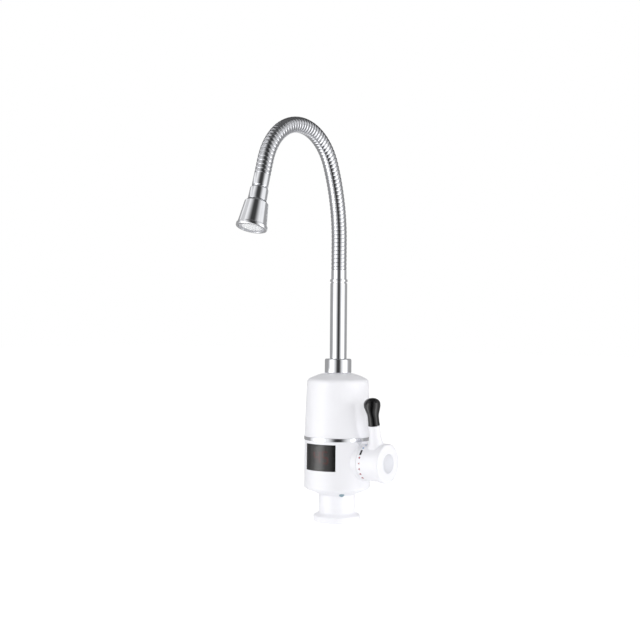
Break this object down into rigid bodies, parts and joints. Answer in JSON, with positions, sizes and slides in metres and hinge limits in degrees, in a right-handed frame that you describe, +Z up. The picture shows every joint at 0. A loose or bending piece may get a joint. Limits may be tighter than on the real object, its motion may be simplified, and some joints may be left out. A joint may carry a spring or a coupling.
{
  "type": "electric instant water heater tap",
  "caption": "White deck tap with a built-in instant water heater, a smoked display window curved round the casing, a side lever valve and a tall ribbed gooseneck spout with a spray head.",
  "frame": {"origin": "centre of the inlet thread's mouth, in the plane of the foot's underside on the tap's axis", "axes": "+Z up along the tap's axis, -Y to the front with the display window and the spout's reach, +X along the valve axis to the handle"},
  "size_m": [0.1001, 0.201, 0.4195],
  "materials": {
    "white_abs": "glossy moulded",
    "chrome_plate": "polished",
    "hose_steel": "polished ribs",
    "smoked_window": "polished, smoked",
    "red_light": "lit",
    "black_plastic": "moulded",
    "grip_black": "glossy moulded",
    "board_green": "lacquered",
    "relay_blue": "moulded",
    "marker_blue": "moulded",
    "mark_red": "printed",
    "pale_grey": "moulded",
    "brass": "machined",
    "black_rubber": "moulded",
    "stainless": "drawn",
    "ceramic_disc": "lapped",
    "natural_plastic": "moulded"
  },
  "bodies": {
    "tap_body": {"foot": "white_abs", "foot_gasket": "black_rubber", "inlet_insert": "brass", "inlet_washer": "black_rubber", "inlet_filter": "stainless", "base_lock_nut": "white_abs", "lower_shell": "white_abs", "upper_shell": "white_abs", "trim_belt": "chrome_plate", "display_window": "smoked_window", "digit_frame": "black_plastic", "led_digits": "red_light", "display_board": "board_green", "blue_marker": "marker_blue", "dial_pointer": "pale_grey", "valve_body": "brass", "seal_rings": "black_rubber", "fixed_disc": "ceramic_disc", "cartridge_body": "natural_plastic", "cartridge_nut": "brass", "flow_diaphragm": "black_rubber", "flow_cover": "black_plastic", "flow_spring": "stainless", "microswitch": "black_plastic", "tank": "stainless", "tank_lid": "natural_plastic", "lid_screws": "stainless", "heating_element": "stainless", "thermal_cutout": "natural_plastic", "outlet_nipple": "brass", "spout_nut": "chrome_plate", "control_board": "board_green", "relay": "relay_blue", "terminal_block": "natural_plastic", "cable_gland": "pale_grey"},
    "handle": {"handle": "white_abs", "off_mark": "black_plastic", "hot_marks": "mark_red", "cold_marks": "marker_blue", "grip": "grip_black", "handle_plug": "white_abs", "handle_screw": "stainless", "spindle": "brass", "moving_disc": "ceramic_disc"},
    "flow_plunger": {"flow_plunger": "natural_plastic"},
    "spout": {"spout_tail": "brass", "spout_orings": "black_rubber", "glide_ring": "natural_plastic", "spout_tube": "chrome_plate", "lower_ferrule": "chrome_plate", "hose_liner": "natural_plastic", "hose": "hose_steel", "upper_ferrule": "chrome_plate", "head_collar": "chrome_plate", "head_oring": "black_rubber"},
    "bell": {"head_bell": "chrome_plate", "aerator": "natural_plastic", "aerator_screen": "stainless", "nozzle_plate": "natural_plastic"}
  },
  "joints": [
    {"name": "handle_turn", "type": "hinge", "parent": "tap_body", "child": "handle", "pos_m": [0.054, 0, 0.0652], "axis": [1, 0, 0], "range_deg": [-100.5, 79.5]},
    {"name": "spout_swivel", "type": "hinge", "parent": "tap_body", "child": "spout", "pos_m": [0, 0, 0.16], "axis": [0, 0, 1], "continuous": true},
    {"name": "bell_slide", "type": "slide", "parent": "spout", "child": "bell", "axis": [0, -0.2924, -0.9563], "range_m": [0, 0.004]},
    {"name": "plunger_slide", "type": "slide", "parent": "tap_body", "child": "flow_plunger", "axis": [-1, 0, 0], "range_m": [0, 0.002], "stiffness_N_per_m": 150, "springref_m": -0.002, "deforming": ["flow_spring"]}
  ]
}
